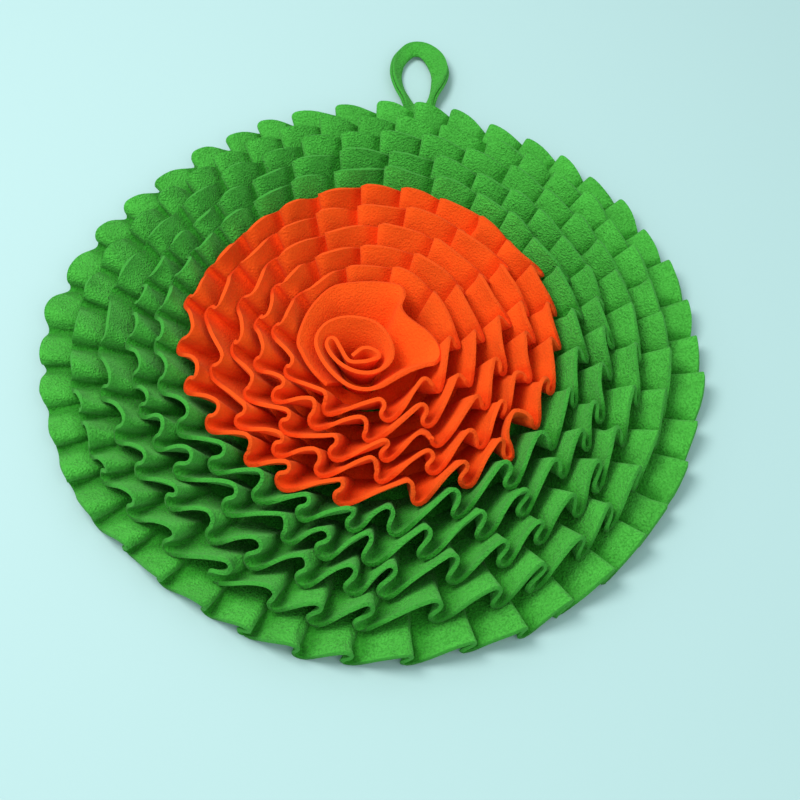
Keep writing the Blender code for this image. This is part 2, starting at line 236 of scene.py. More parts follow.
def fill_inputs(node: bpy.types.Node, values: dict[str | int, object]) -> None:
    """Set what a node's input sockets hold, by name or number."""
    for socket, value in values.items():
        node.inputs[socket].default_value = value


def add_node(
    tree: bpy.types.ShaderNodeTree, kind: str, values: dict[str | int, object] | None = None,
    **settings: object,
) -> bpy.types.ShaderNode:
    """Add a shader node.

    Args:
        tree: The node tree that it goes in.
        kind: Which node it is, without ShaderNode before it.
        values: What its input sockets hold, by name or number.
        **settings: The node's own settings.

    Returns:
        The node.
    """
    node = tree.nodes.new("ShaderNode" + kind)
    for name, setting in settings.items():
        setattr(node, name, setting)
    fill_inputs(node, values or {})
    return node


def wire_nodes(tree: bpy.types.ShaderNodeTree, wires: Sequence[tuple]) -> None:
    """Wire nodes together.

    Args:
        tree: The node tree that they are in.
        wires: For each wire, a node, its output, the next node and its input.
    """
    for source, gives, target, takes in wires:
        tree.links.new(source.outputs[gives], target.inputs[takes])


@dataclass(frozen=True)
class NapGroup:
    """The shared shader group of the fleece's short curled nap."""

    name: str = "fleece nap"
    takes: tuple[str, ...] = ("Curl Size", "Relief", "Pits")
    gives: tuple[tuple[str, str], ...] = (("Tone", "Float"), ("Drift", "Float"), ("Normal", "Vector"))
    cell_share: float = 0.35
    curl_height: float = 0.7 * MM

    def tree(self) -> bpy.types.ShaderNodeTree:
        """Return the group, built on its first use.

        Returns:
            A group that turns a place on the cloth into the nap's Tone, from 0 in
            the pits, which are darkened as painted shade, to 1 on the curls, a slow Drift of the
            colour, and a Normal.
        """
        found = bpy.data.node_groups.get(self.name)
        if found is not None:
            return found
        tree = bpy.data.node_groups.new(self.name, "ShaderNodeTree")
        for label in self.takes:
            tree.interface.new_socket(label, in_out="INPUT", socket_type="NodeSocketFloat")
        for label, kind in self.gives:
            tree.interface.new_socket(label, in_out="OUTPUT", socket_type="NodeSocket" + kind)
        entry = tree.nodes.new("NodeGroupInput")
        leave = tree.nodes.new("NodeGroupOutput")
        place = add_node(tree, "TexCoord")

        curls = add_node(tree, "TexNoise", {"Detail": 2.5, "Roughness": 0.5, "Distortion": 0.3})
        cells = add_node(tree, "TexVoronoi", {"Randomness": 1.0}, feature="F1")
        warp = add_node(tree, "TexNoise", {"Scale": 90.0, "Detail": 1.0})
        drift = add_node(tree, "TexNoise", {"Scale": 38.0, "Detail": 2.0})
        patch = add_node(tree, "MapRange", {"From Min": 0.25, "From Max": 0.65, "To Min": 0.45})
        # The hollows between the curls, whose colour is darkened as painted shade.
        hollow = add_node(
            tree, "MapRange", {"From Min": 0.38, "From Max": 0.56, "To Min": 1.0, "To Max": 0.0},
        )
        scatter = add_node(tree, "Math", operation="MULTIPLY")
        sunk = add_node(tree, "Math", operation="MULTIPLY")
        tone = add_node(tree, "Math", {0: 1.0}, operation="SUBTRACT", use_clamp=True)
        height = add_node(tree, "Math", {1: self.cell_share}, operation="MULTIPLY_ADD")
        bump = add_node(tree, "Bump", {"Distance": self.curl_height})
        patterns = (curls, cells, warp, drift)
        wire_nodes(tree, [(place, "Object", pattern, "Vector") for pattern in patterns])
        wire_nodes(tree, (
            (entry, "Curl Size", curls, "Scale"),
            (entry, "Curl Size", cells, "Scale"),
            (warp, "Fac", patch, "Value"),
            (curls, "Fac", hollow, "Value"),
            (hollow, "Result", scatter, 0),
            (patch, "Result", scatter, 1),
            (scatter, "Value", sunk, 0),
            (entry, "Pits", sunk, 1),
            (sunk, "Value", tone, 1),
            (cells, "Distance", height, 0),
            (curls, "Fac", height, 2),
            (height, "Value", bump, "Height"),
            (entry, "Relief", bump, "Strength"),
            (tone, "Value", leave, "Tone"),
            (drift, "Fac", leave, "Drift"),
            (bump, "Normal", leave, "Normal"),
        ))
        return tree


@dataclass(frozen=True)
class FleeceFinish:
    """One fleece: its colours (linear) and its nap.

    The face colour is the nap's curls and the pit colour the pits between them, darker
    as painted shade.  The edge colour is the cut edge, darker than the face as painted
    shade over the light that the cut edges catch, and the fourth colour is the painted
    shade tint that the colour is multiplied by in the depth of the folds.  Curl size counts
    the nap's curls in a metre, relief is how far it stands, and pits is how much of the
    pits' painted shade shows.
    """

    slot: Fleece
    face: tuple[float, float, float]
    pit: tuple[float, float, float]
    edge: tuple[float, float, float]
    deep: tuple[float, float, float]
    curl_size: float
    relief: float
    pits: float
    sheen: tuple[float, float, float]
    sheen_weight: float
    sheen_roughness: float = 0.45
    roughness: float = 0.95
    specular: float = 0.06

    def material(self) -> bpy.types.Material:
        """Return the finish's material, built on its first use.

        Returns:
            The material, which all the pieces of this fleece share.
        """
        name = "nap of " + self.slot.value
        found = bpy.data.materials.get(name)
        if found is not None:
            return found
        material = bpy.data.materials.new(name)
        material.use_nodes = True
        tree = material.node_tree
        shader = tree.nodes["Principled BSDF"]
        fill_inputs(shader, {
            "Roughness": self.roughness, "Specular IOR Level": self.specular,
            "Sheen Weight": self.sheen_weight, "Sheen Roughness": self.sheen_roughness,
            "Sheen Tint": (*self.sheen, 1.0),
        })

        nap = add_node(
            tree, "Group", {"Curl Size": self.curl_size, "Relief": self.relief, "Pits": self.pits},
            node_tree=NapGroup().tree(),
        )
        # Painted shade: the cut edges take the darker edge colour, and the fold shade attribute
        # multiplies the colour by the shade tint where rows cover each other and in the valleys.
        cut = add_node(tree, "Attribute", attribute_name=CUT_EDGE)
        depth = add_node(tree, "Attribute", attribute_name=PAINTED_FOLD_SHADE)
        body = add_node(
            tree, "Mix", {"A": (*self.pit, 1.0), "B": (*self.face, 1.0)}, data_type="RGBA",
        )
        level = add_node(
            tree, "MapRange", {"From Min": 0.3, "From Max": 0.7, "To Min": 0.90, "To Max": 1.10},
        )
        vary = add_node(tree, "HueSaturation")
        edge_shade_mix = add_node(tree, "Mix", {"B": (*self.edge, 1.0)}, data_type="RGBA")
        painted_shade_mix = add_node(
            tree, "Mix", {"B": (*self.deep, 1.0)}, data_type="RGBA", blend_type="MULTIPLY",
        )
        wire_nodes(tree, (
            (nap, "Tone", body, "Factor"),
            (nap, "Drift", level, "Value"),
            (level, "Result", vary, "Value"),
            (body, "Result", vary, "Color"),
            (cut, "Fac", edge_shade_mix, "Factor"),
            (vary, "Color", edge_shade_mix, "A"),
            (depth, "Fac", painted_shade_mix, "Factor"),
            (edge_shade_mix, "Result", painted_shade_mix, "A"),
            (painted_shade_mix, "Result", shader, "Base Color"),
            (nap, "Normal", shader, "Normal"),
        ))
        return material


# Each finish's pit and edge colours and its shade tint are painted shade.
FINISHES = {
    Fleece.GREEN: FleeceFinish(
        slot=Fleece.GREEN, face=(0.072, 0.430, 0.050), pit=(0.024, 0.200, 0.016),
        edge=(0.050, 0.320, 0.036), deep=(0.38, 0.58, 0.36), curl_size=700.0, relief=2.0,
        pits=0.60, sheen=(0.66, 1.0, 0.54), sheen_weight=0.13,
    ),
    Fleece.ORANGE: FleeceFinish(
        slot=Fleece.ORANGE, face=(0.93, 0.100, 0.009), pit=(0.76, 0.054, 0.004),
        edge=(0.80, 0.078, 0.008), deep=(0.84, 0.54, 0.44), curl_size=700.0, relief=0.95,
        pits=0.30, sheen=(1.0, 0.50, 0.22), sheen_weight=0.06,
    ),
}


def finish_cloth(
    thing: bpy.types.Object, fleece: Fleece, thickness: float = CLOTH, rim: float = RIM,
) -> None:
    """Give a single sheet its thickness, round its cut edges and dress it.

    Args:
        thing: The sheet, one face thick.
        fleece: Which fleece it is cut from.
        thickness: How thick the cloth is, in metres.
        rim: How far its cut edges are rounded, in metres.
    """
    wall = thing.modifiers.new("wall", "SOLIDIFY")
    wall.thickness = thickness
    wall.offset = 0.0
    wall.use_even_offset = False
    rounded = thing.modifiers.new("rounded rim", "BEVEL")
    rounded.width = rim
    rounded.segments = RIM_SEGMENTS
    rounded.limit_method = "ANGLE"
    rounded.angle_limit = RIM_ANGLE
    rounded.use_clamp_overlap = True
    rounded.harden_normals = False
    thing.data.materials.append(FINISHES[fleece].material())


def seat(thing: bpy.types.Object, fleece: Fleece, *nodes: str) -> None:
    """Fix a piece to the mat in place of its solids.

    Args:
        thing: The finished piece.
        fleece: The piece's fleece; not used.
        nodes: The nodes it stands for.
    """
    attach(thing, BODY)
    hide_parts(*nodes)
    LOG.info("%s: %d faces", thing.name, len(thing.data.polygons))


def put_in_order(mesh: bmesh.types.BMesh) -> None:
    """Sort a bmesh's edges and faces by their points, so that every run makes the same mesh.

    Args:
        mesh: The bmesh, whose points are in order.
    """
    mesh.verts.index_update()
    span = len(mesh.verts)

    def place(part: bmesh.types.BMEdge | bmesh.types.BMFace) -> int:
        """A number for the pair of a part's first and last points."""
        numbers = [vertex.index for vertex in part.verts]
        return span * min(numbers) + max(numbers)

    for parts in (mesh.edges, mesh.faces):
        parts.sort(key=place)
        parts.index_update()


def stack_lines(
    name: str, lines: Sequence[np.ndarray], closed: bool, marks: Sequence[float],
    shades: Sequence[np.ndarray],
) -> bpy.types.Object:
    """Make a sheet of lines of points, each extruded from the one before.

    Args:
        name: The object's name.
        lines: The lines, in metres, all with the same number of points.
        closed: Whether each line meets its own start.
        marks: How near each line is to a cut edge, from 0 to 1.
        shades: How much painted shade each point of each line takes, from 0 to 1.

    Returns:
        The sheet, one face thick.
    """
    mesh = bmesh.new()
    mark = mesh.verts.layers.float.new(CUT_EDGE)
    shade = mesh.verts.layers.float.new(PAINTED_FOLD_SHADE)
    count = len(lines[0])
    if closed:
        bmesh.ops.create_circle(mesh, segments=count, radius=1.0)
    else:
        first = mesh.verts.new(lines[0][0])
        last = first
        for point in lines[0][1:]:
            grown = bmesh.ops.extrude_vert_indiv(mesh, verts=[last])
            last = grown["verts"][0]
            last.co = point
    mesh.verts.ensure_lookup_table()
    row = list(mesh.verts)
    edges = list(mesh.edges)
    for number, (line, value, darks) in enumerate(zip(lines, marks, shades)):
        if number > 0:
            before = {vertex: index for index, vertex in enumerate(row)}
            grown = bmesh.ops.extrude_edge_only(mesh, edges=edges)["geom"]
            edges = [part for part in grown if isinstance(part, bmesh.types.BMEdge)]
            fresh = {part for part in grown if isinstance(part, bmesh.types.BMVert)}
            row = [None] * count
            for vertex in fresh:
                for edge in vertex.link_edges:
                    other = edge.other_vert(vertex)
                    if other in before:
                        row[before[other]] = vertex
        for vertex, point, dark in zip(row, line, darks):
            vertex.co = point
            vertex[mark] = value
            vertex[shade] = dark
    put_in_order(mesh)
    bmesh.ops.recalc_face_normals(mesh, faces=mesh.faces)
    return mesh_object(name, mesh)


# Where the pleats stand: the bearing (degrees) at which each pleat's crest turns back,
# row by row from the rim inwards and round each row from the front.
CRESTS = (
    (-83.7, -73.7, -65.4, -56.8, -48.1, -40.0, -33.0, -24.2, -16.1, -6.2, 1.6, 9.4,
     18.4, 26.6, 34.5, 42.2, 49.7, 57.4, 65.4, 73.6, 81.1, 88.6, 97.0, 106.0, 113.4,
     120.6, 128.8, 138.4, 146.6, 155.0, 165.2, 174.8, 183.3, 191.6, 200.0, 208.0,
     216.2, 224.8, 233.2, 242.2, 250.6, 258.8, 267.3),
    (-88.6, -77.7, -67.0, -57.8, -49.2, -39.9, -30.8, -22.2, -12.6, -3.5, 5.0, 13.5,
     21.9, 30.0, 38.3, 46.4, 54.2, 63.4, 74.2, 84.2, 92.6, 101.2, 110.4, 118.6,
     126.6, 134.4, 142.6, 151.8, 161.2, 170.4, 180.0, 189.0, 197.0, 204.2, 211.4,
     220.4, 231.0, 244.4, 253.0, 261.5),
    (-85.0, -72.6, -62.0, -53.4, -44.6, -35.0, -25.2, -14.8, -3.5, 6.6, 16.0, 25.0,
     33.8, 43.8, 54.2, 66.0, 77.2, 87.4, 97.0, 106.8, 117.4, 128.8, 141.0, 154.0,
     167.0, 182.0, 194.2, 204.8, 214.8, 225.4, 235.8, 247.6, 258.6, 267.4),
    (-76.4, -63.4, -51.5, -40.6, -30.8, -21.6, -10.9, -0.4, 9.0, 18.8, 29.2, 39.6,
     49.4, 59.8, 72.2, 84.8, 98.2, 111.6, 123.8, 134.6, 144.4, 153.8, 163.6, 172.6,
     181.6, 192.4, 201.8, 211.0, 222.0, 236.4, 251.2, 260.8, 270.2),
    (-84.2, -66.4, -50.4, -36.6, -20.6, -7.4, 6.8, 21.0, 33.0, 44.2, 56.0, 70.0, 85.6,
     101.0, 114.6, 127.6, 140.4, 151.4, 162.0, 173.0, 184.0, 195.6, 210.6, 226.4,
     240.0, 253.8, 265.6),
    (-77.6, -60.0, -46.3, -33.1, -19.2, -4.8, 9.4, 24.2, 37.0, 50.6, 65.4, 79.2, 93.0,
     107.8, 122.6, 138.0, 153.4, 168.4, 183.8, 199.2, 214.2, 230.2, 244.6, 261.8),
    (-87.0, -67.6, -50.6, -34.0, -18.0, -2.6, 11.4, 30.4, 53.0, 75.4, 94.6, 111.4,
     128.6, 148.0, 171.0, 195.6, 218.6, 236.8, 252.6),
    (-82.6, -62.0, -36.8, -15.8, 5.8, 31.0, 58.6, 85.6, 110.8, 136.2, 161.4, 186.6,
     208.6, 232.6, 256.4),
    (-57.7, -29.4, -0.6, 31.4, 63.0, 94.0, 120.6, 146.0, 170.6, 194.2, 217.4, 241.6,
     269.0),
    (-78.0, -42.0, -4.0, 36.0, 71.0, 104.0, 138.0, 172.0, 206.0, 242.0),
)


@dataclass(frozen=True)
class Ruffle:
    """One pleated row.  Sizes are in mm and degrees.

    Root and tip are radii, height is the middle of the tip, depth is how far the
    folds stand up and down, swing is how far the cloth turns over a crest, and east
    and north place the centre.  Order counts the rows from the rim.
    """

    name: str
    fleece: Fleece
    root: float
    tip: float
    height: float
    depth: float
    swing: float
    east: float
    north: float
    order: int

    # Stations round one pleat, and lines from root to tip as shares of the way.
    valley_stations: int = 7
    face_stations: int = 5
    crest_stations: int = 8
    drop_stations: int = 4
    shares: tuple[float, ...] = (
        0.0, 0.16, 0.30, 0.42, 0.50, 0.58, 0.66, 0.74, 0.81, 0.87, 0.92, 0.96, 0.985, 1.0,
    )

    # The folds' bends (mm), the share of a fold's depth that they may take, and the
    # power by which depth follows a pleat's width.
    softest_bend: float = 5.4
    sharpest_bend: float = 1.4
    bend_limit: float = 0.97
    depth_power: float = 0.22

    # How swing (degrees), depth and tooth (shares) waver from pleat to pleat.
    swing_waver: float = 12.0
    swing_step: float = 2.4
    depth_waver: float = 0.13
    depth_step: float = 5.1
    tooth_waver: float = 0.45
    tooth_step: float = 3.7

    # The folds half way up the row, and how they grow from root to tip.
    middle_depth: float = 0.46
    middle_bend: float = 1.6
    middle_swing: float = 88.0
    middle_of_tip_swing: float = 0.8
    least_growth: float = 0.02
    least_turn: float = 0.1
    early_power: float = 0.8
    late_power: float = 1.1
    swell_power: float = 1.3
    smoothing: int = 2

    # How much of the rim's outline each row inwards keeps, and how the rim rises
    # (mm) over the ends of the hanging loop (degrees).
    outline_fade: float = 0.82
    loop_bearing: float = 80.0
    loop_lift: float = 6.5
    loop_spread: float = 7.0

    # Unevenness of the cloth (mm), what each row inwards adds to it, the size of
    # its waves (m), and the seeds of its patterns.
    unevenness: float = 1.2
    uneven_growth: float = 0.12
    uneven_size: float = 0.026
    seed_step: float = 3.1
    lift_seed: float = 40.0

    # The seam allowance: how far in each of its lines lies, as a share, and how
    # high (mm).  Gap is what it stays short of the next seam (mm).  The last row's
    # has its own width (mm), and more of it near one bearing (degrees).  Seam width
    # is the cut strip's width as a share of the row's.
    allowance: tuple[tuple[float, float], ...] = ((1.0, 0.0), (0.5, 0.0), (0.14, 0.1))
    allowance_gap: float = 3.0
    last_allowance: float = 10.0
    allowance_more: float = 8.0
    allowance_bearing: float = -35.0
    allowance_focus: int = 4
    seam_width: float = 1.15

    # Painted shade: where the rows outside cover this one, as shares from root to tip, how dark
    # the painted shade makes that part and the valleys, and the rise (-1 to 1) where a valley's
    # painted shade starts and where it is full.
    cover_start: float = 0.42
    cover_end: float = 0.66
    cover_shade: float = 0.95
    valley_shade: float = 0.85
    crease_rise: float = -0.05
    crease_bottom: float = -0.5

    @property
    def low(self) -> float:
        """Height of the middle of the cloth at the root (mm)."""
        return SEAM_LEVEL / MM + 0.5 * CLOTH / MM * math.cos(self.slope)

    @property
    def slope(self) -> float:
        """Angle of the row above level, in radians."""
        return math.atan2(self.height - SEAM_LEVEL / MM, self.tip - self.root)

    def folds(self) -> dict[str, np.ndarray]:
        """Work out the pleats of the row.

        Returns:
            Columns with one value a pleat: crest (radians), depth and bend (mm),
            swing (radians), the valley's share of the bends, tooth (mm), and bulge.
        """
        crests = np.radians(CRESTS[self.order])
        widths = (crests - np.roll(crests, 1)) % (2.0 * math.pi)
        manner = MANNERS.at(crests)
        kept = manner["kept"] ** self.order
        count = np.arange(len(crests))
        waver = self.swing_waver * np.sin(self.swing_step * count + self.order)
        depth = self.depth * (1.0 + kept * (manner["depth"] - 1.0))
        depth = depth * (widths / np.median(widths)) ** self.depth_power
        depth = depth * (1.0 + self.depth_waver * np.sin(self.depth_step * count + self.order))
        tooth = manner["tooth"] * (1.0 + self.tooth_waver * np.sin(self.tooth_step * count))
        swing = np.radians(self.swing + kept * manner["swing"] + waver)
        bend = 0.5 * manner["round"] * depth / (1.0 - np.cos(swing))
        bend = np.clip(bend, self.sharpest_bend, self.softest_bend)
        return {
            "crest": crests, "depth": depth, "bend": bend, "swing": swing,
            "valley": manner["valley"], "tooth": tooth, "bulge": manner["bulge"],
        }

    def at_share(self, folds: dict[str, np.ndarray], share: float) -> tuple[np.ndarray, ...]:
        """Sizes of the folds part of the way from root to tip.

        Args:
            folds: The row's pleats.
            share: 0 at the root, 1 at the tip.

        Returns:
            Depth, valley bend, crest bend (mm) and swing (radians) of each pleat.
        """
        grow = share * (4.0 * self.middle_depth - 1.0 + (2.0 - 4.0 * self.middle_depth) * share)
        depth = folds["depth"] * max(grow, self.least_growth)
        full = folds["swing"]
        middle = np.minimum(math.radians(self.middle_swing), self.middle_of_tip_swing * full)
        late = max(0.0, 2.0 * share - 1.0)
        early = max(self.least_turn, min(1.0, 2.0 * share))
        swing = middle * early ** self.early_power + (full - middle) * late ** self.late_power
        bend = self.middle_bend * early + (folds["bend"] - self.middle_bend) * late
        total = np.minimum(2.0 * bend, self.bend_limit * depth / (1.0 - np.cos(swing)))
        lean = 0.5 + (folds["valley"] - 0.5) * late
        return depth, lean * total, (1.0 - lean) * total, swing

    def pleat_paths(self, folds: dict[str, np.ndarray], share: float, radius: float) -> np.ndarray:
        """Middle line of every pleat at one share, as (bearing, across, rise).

        Args:
            folds: The row's pleats.
            share: 0 at the root, 1 at the tip.
            radius: The line's radius in mm.

        Returns:
            An array of pleats by stations by three: radians, mm, and the rise
            from -1 at the bottom of a valley to 1 at the top of a crest.
        """
        depth, valley, crest, swing = self.at_share(folds, share)
        both = valley + crest
        fall = (depth - both * (1.0 - np.cos(swing))) / np.sin(swing)
        back = both * np.sin(swing) + fall * np.cos(swing)
        ends = folds["crest"] + (back - crest) / radius
        starts = np.roll(ends, 1)
        pitch = (ends - starts) % (2.0 * math.pi) * radius
        ahead = pitch - back
        climb = np.arctan2(depth - both, ahead)
        climb = climb + np.arcsin(both / np.hypot(ahead, depth - both))

        def arc(turn: np.ndarray, bend: np.ndarray) -> tuple[np.ndarray, np.ndarray]:
            """Along and up (mm) on a fold that turns from the short face to the long one."""
            heading = -swing[:, None] + (climb + swing)[:, None] * turn[None, :]
            return bend[:, None] * np.sin(heading), bend[:, None] * (1.0 - np.cos(heading))

        along, rise = arc(np.linspace(0.0, 1.0, self.valley_stations), valley)
        parts = [np.stack((along, rise - 0.5 * depth[:, None]), axis=2)]
        along, rise = arc(np.linspace(1.0, 0.0, self.crest_stations), crest)
        over = np.stack((ahead[:, None] - along, 0.5 * depth[:, None] - rise), axis=2)
        part = np.linspace(0.0, 1.0, self.face_stations + 2)[1:-1]
        start, end = parts[0][:, -1:, :], over[:, :1, :]
        face = start + (end - start) * part[None, :, None]
        swell = folds["bulge"] * max(0.0, 2.0 * share - 1.0) * depth
        face[:, :, 1] += swell[:, None] * np.sin(math.pi * part ** self.swell_power)[None, :]
        parts.append(face)
        parts.append(over)
        part = np.linspace(0.0, 1.0, self.drop_stations + 2)[1:-1]
        start = over[:, -1:, :]
        ahead_by = np.stack((pitch, 0.0 * pitch), axis=1)[:, None, :]
        end = np.roll(parts[0][:, :1, :], -1, axis=0) + ahead_by
        parts.append(start + (end - start) * part[None, :, None])
        path = np.concatenate(parts, axis=1)
        path[:, :, 0] = starts[:, None] + path[:, :, 0] / radius
        rise = 2.0 * path[:, :, 1] / depth[:, None]
        return np.concatenate((path, rise[:, :, None]), axis=2)

    def line(self, folds: dict[str, np.ndarray], share: float) -> np.ndarray:
        """Middle line of the whole row at one share, in metres.

        Args:
            folds: The row's pleats.
            share: 0 at the root, 1 at the tip.

        Returns:
            The line's points, once round.
        """
        radius = self.root + share * (self.tip - self.root)
        bearing, across, rise = self.pleat_paths(folds, share, radius).reshape(-1, 3).T
        tooth = share ** 2 * rise * np.repeat(folds["tooth"], len(rise) // len(folds["tooth"]))
        kept = self.outline_fade ** self.order
        offset = OUTLINE.at(bearing)["offset"]
        reach = self.root + share * (self.tip - self.root + kept * offset)
        reach = reach - across * math.sin(self.slope) + tooth * math.cos(self.slope)
        height = self.low + share * (self.height - self.low)
        height = height + across * math.cos(self.slope) + tooth * math.sin(self.slope)
        if self.order == 0:
            off = np.degrees(bearing) - self.loop_bearing
            off = (off + 180.0) % 360.0 - 180.0
            height = height + share * self.loop_lift * np.exp(-(off / self.loop_spread) ** 2)
        points = np.stack((
            self.east + reach * np.cos(bearing), self.north + reach * np.sin(bearing), height,
        ), axis=1)
        for _ in range(self.smoothing):
            beside = np.roll(points, 1, axis=0) + np.roll(points, -1, axis=0)
            points = 0.5 * points + 0.25 * beside
        points = points * MM
        out = np.stack((np.cos(bearing), np.sin(bearing), 0.0 * bearing), axis=1)
        push = (self.unevenness + self.uneven_growth * self.order) * MM * share ** 2
        seed = self.seed_step * self.order
        points = points + push * ripple(points, self.uneven_size, seed)[:, None] * out
        points[:, 2] += push * ripple(points, self.uneven_size, self.lift_seed + seed)
        return points

    def surface(self) -> np.ndarray:
        """Work out the row's middle surface.

        Returns:
            Lines by stations by three, in metres: the seam allowance, which lies
            flat on the base inside the seam, and then the row from root to tip.
        """
        folds = self.folds()
        lines = [self.line(folds, share) for share in self.shares]
        bearing = self.pleat_paths(folds, 0.0, self.root)[:, :, 0].ravel()
        near = np.maximum(0.0, np.cos(bearing - math.radians(self.allowance_bearing)))
        size = self.last_allowance + self.allowance_more * near[:, None] ** self.allowance_focus
        if self.order < len(ROWS) - 1:
            inner = ROWS[self.order + 1]
            shift = math.hypot(self.east - inner.east, self.north - inner.north)
            size = self.root - inner.root - shift - self.allowance_gap
        middle = np.array((self.east, self.north)) * MM
        out = lines[0][:, :2] - middle
        out = out / np.linalg.norm(out, axis=1)[:, None]
        flat = SEAM_LEVEL + 0.5 * CLOTH
        for number, (part, lift) in enumerate(self.allowance):
            level = middle + out * (self.root - part * size) * MM
            height = np.full((len(level), 1), flat + lift * MM)
            lines.insert(number, np.hstack((level, height)))
        return np.array(lines)

    def shades(self) -> np.ndarray:
        """How much painted shade each point of the surface takes.

        Returns:
            Lines by stations, from 0 where no shade is painted to 1 where it is darkest.
        """
        folds = self.folds()
        rows = []
        for share in self.shares:
            radius = self.root + share * (self.tip - self.root)
            rise = self.pleat_paths(folds, share, radius)[:, :, 2].ravel()
            covered = (self.cover_end - share) / (self.cover_end - self.cover_start)
            covered = self.cover_shade * min(1.0, max(0.0, covered))
            valley = (self.crease_rise - rise) / (self.crease_rise - self.crease_bottom)
            valley = self.valley_shade * np.clip(valley, 0.0, 1.0)
            rows.append(np.clip(covered + valley, 0.0, 1.0))
        under = [np.ones_like(rows[0])] * len(self.allowance)
        return np.array(under + rows)

    def build(self, surface: np.ndarray) -> bpy.types.Object:
        """Args:
            surface: The row's middle surface, clear of its neighbours.

        Returns:
            The row's object.
        """
        marks = [0.0] * (len(surface) - 1) + [1.0]
        thing = stack_lines(CLOTH_NAME.format(self.name), surface, True, marks, self.shades())
        root = len(self.allowance)
        width = float(np.mean(np.linalg.norm(surface[-1] - surface[root], axis=1)))
        width = self.seam_width * width
        finish_cloth(thing, self.fleece)
        seat(thing, self.fleece, self.name)
        return thing


@dataclass(frozen=True)
class Easing:
    """Pushes neighbouring rows apart until their cloths lie on each other.

    Gap is how far apart two middle surfaces are kept, and reach how far away a
    neighbour is looked for.  The rows are looked at so many rounds, each push is
    shared so many times (spread) with the cloth beside it and above and below it,
    by the three shares, and haste is the part of it that is made at once.  The
    lines below the first level stay where they are, and so does a point whose
    neighbour's face is turned away (the normal's height).  Root hold is the power
    by which a row moves less towards its root.  No point moves further than
    furthest, or sinks below the floor.  Lengths are in metres.
    """

    gap: float = 3.1 * MM
    reach: float = 9.0 * MM
    rounds: int = 24
    spread: int = 26
    haste: float = 0.62
    first_level: int = 6
    turned_away: float = -0.25
    furthest: float = 5.5 * MM
    floor: float = 1.7 * MM
    root_hold: float = 0.5
    own_share: float = 0.4
    beside_share: float = 0.35
    height_share: float = 0.25

    def tree(self, surface: np.ndarray) -> BVHTree:
        """Make a search tree over a closed row's faces.

        Args:
            surface: The row's middle surface.

        Returns:
            The tree, whose faces look up and inwards.
        """
        levels, count = surface.shape[:2]
        index = np.arange(levels * count).reshape(levels, count)
        after = np.roll(index, -1, axis=1)
        faces = np.stack((index[:-1], index[1:], after[1:], after[:-1]), axis=2).reshape(-1, 4)
        return BVHTree.FromPolygons(surface.reshape(-1, 3).tolist(), faces.tolist())

    def push(self, surface: np.ndarray, other: BVHTree, side: float) -> np.ndarray:
        """How each point of a row has to move to clear a neighbour.

        Args:
            surface: The row's middle surface.
            other: The neighbour's search tree.
            side: 1 where the row lies over the neighbour, -1 where it lies under.

        Returns:
            A move for each point, in metres.
        """
        moves = np.zeros_like(surface)
        for level in range(self.first_level, len(surface)):
            for number, point in enumerate(surface[level]):
                near, normal, _, _ = other.find_nearest(Vector(point), self.reach)
                if near is None or normal.z < self.turned_away:
                    continue
                above = side * (Vector(point) - near).dot(normal)
                if above < self.gap:
                    moves[level, number] = side * (self.gap - above) * normal
        return moves

    def ease(self, surfaces: list[np.ndarray]) -> list[np.ndarray]:
        """Push every row clear of its neighbours.

        Args:
            surfaces: The rows' middle surfaces, from the rim inwards.

        Returns:
            The eased surfaces.
        """
        starts = surfaces
        surfaces = [surface.copy() for surface in surfaces]
        freedom = np.array((0.0,) * len(Ruffle.allowance) + Ruffle.shares)[:, None, None]
        freedom = freedom ** self.root_hold
        for _ in range(self.rounds):
            trees = [self.tree(surface) for surface in surfaces]
            moved = []
            for number, surface in enumerate(surfaces):
                move = np.zeros_like(surface)
                if number > 0:
                    move += self.push(surface, trees[number - 1], 1.0)
                if number < len(surfaces) - 1:
                    move += self.push(surface, trees[number + 1], -1.0)
                for _ in range(self.spread):
                    round_about = 0.5 * (np.roll(move, 1, axis=1) + np.roll(move, -1, axis=1))
                    padded = np.concatenate((move[:1], move, move[-1:]), axis=0)
                    out_and_in = 0.5 * (padded[:-2] + padded[2:])
                    move = (
                        self.own_share * move + self.beside_share * round_about
                        + self.height_share * out_and_in
                    )
                moved.append(surface + self.haste * freedom * move)
            surfaces = moved
            for start, surface in zip(starts, surfaces):
                drift = surface - start
                far = np.linalg.norm(drift, axis=2)[:, :, None]
                drift *= self.furthest / np.maximum(far, self.furthest)
                surface[:] = start + drift
                np.maximum(surface[:, :, 2], self.floor, out=surface[:, :, 2])
        return surfaces


